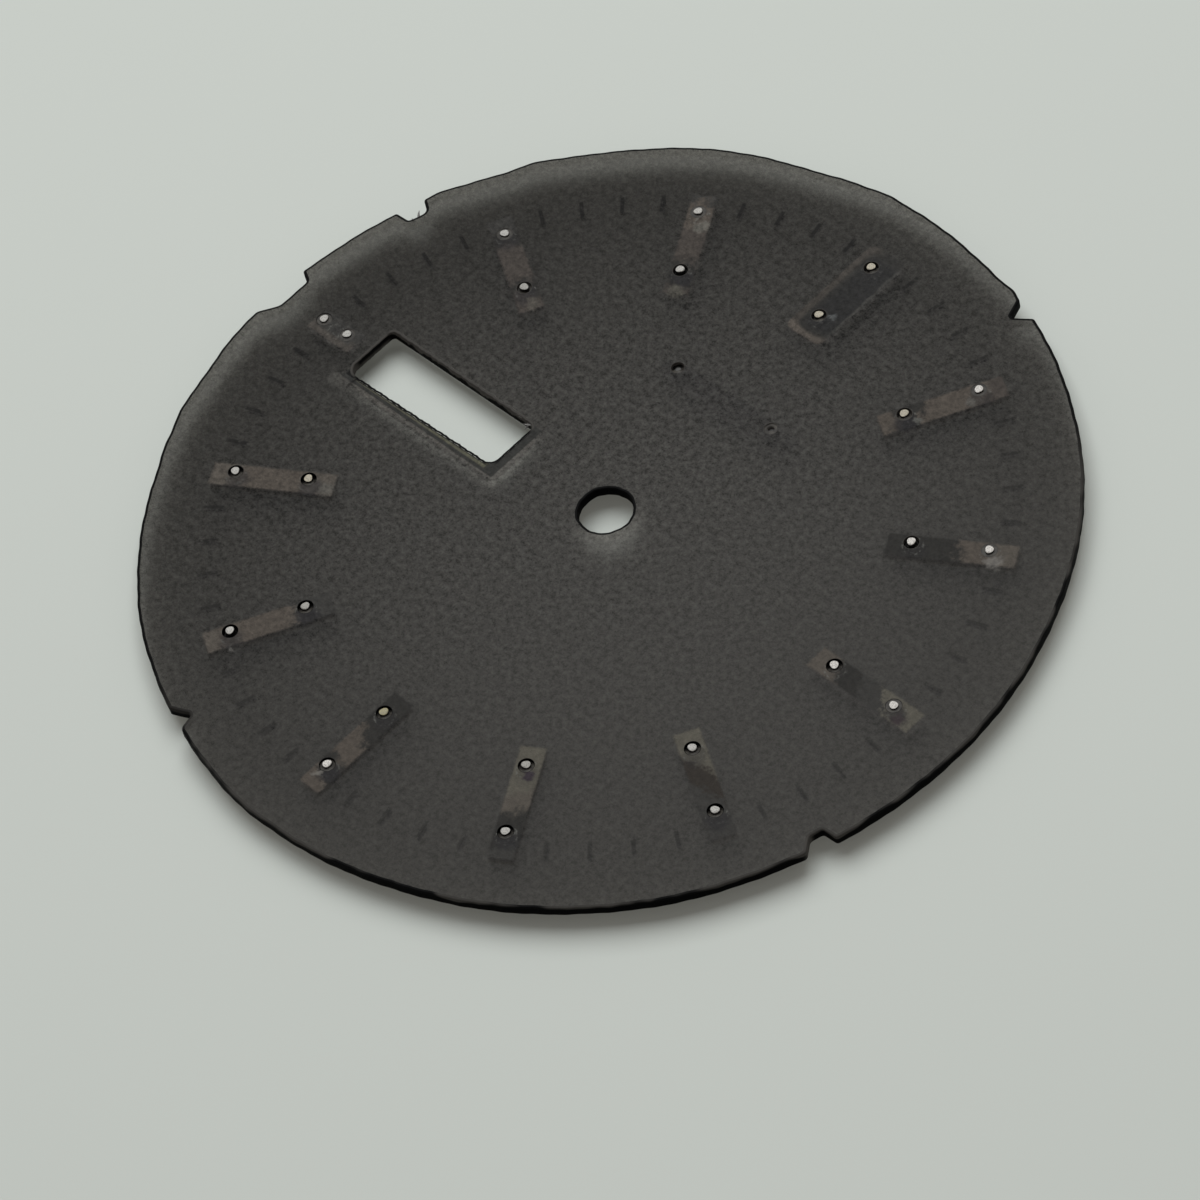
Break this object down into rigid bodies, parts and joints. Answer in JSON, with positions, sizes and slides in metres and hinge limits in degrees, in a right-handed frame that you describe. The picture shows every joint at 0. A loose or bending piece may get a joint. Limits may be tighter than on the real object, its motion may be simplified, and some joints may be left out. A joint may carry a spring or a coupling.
{
  "type": "watch dial",
  "caption": "Thin smoked translucent watch dial with applied baton hour markers pegged through it, a day and date window, a centre bore and locating notches in its rim.",
  "frame": {"origin": "axis of the hand bore on the dial's back face", "axes": "+Z out of the back face, towards the movement; +Y towards twelve o'clock; three o'clock at -X"},
  "size_m": [0.029, 0.029, 0.001],
  "materials": {
    "smoked_plate": "smoked translucent plastic with a fine matt grain on the back",
    "marker_metal": "polished bevels, brushed face",
    "luminous_paint": "matt granular filling",
    "frame_metal": "polished",
    "badge_metal": "polished, plain",
    "white_print": "thin matt print",
    "adhesive": "dark cured resin"
  },
  "bodies": {
    "root": {"dial_plate": "smoked_plate", "hour_marker_01": "marker_metal", "luminous_filling_01": "luminous_paint", "hour_marker_02": "marker_metal", "luminous_filling_02": "luminous_paint", "hour_marker_03": "marker_metal", "luminous_filling_03": "luminous_paint", "hour_marker_04": "marker_metal", "luminous_filling_04": "luminous_paint", "hour_marker_05": "marker_metal", "luminous_filling_05": "luminous_paint", "hour_marker_06": "marker_metal", "luminous_filling_06": "luminous_paint", "hour_marker_07": "marker_metal", "luminous_filling_07": "luminous_paint", "hour_marker_08": "marker_metal", "luminous_filling_08": "luminous_paint", "hour_marker_09": "marker_metal", "luminous_filling_09": "luminous_paint", "hour_marker_10": "marker_metal", "luminous_filling_10": "luminous_paint", "hour_marker_11": "marker_metal", "luminous_filling_11": "luminous_paint", "hour_marker_12": "marker_metal", "luminous_filling_12": "luminous_paint", "window_frame": "frame_metal", "badge_bar": "badge_metal", "minute_track": "white_print", "peg_adhesive": "adhesive"}
  },
  "joints": []
}
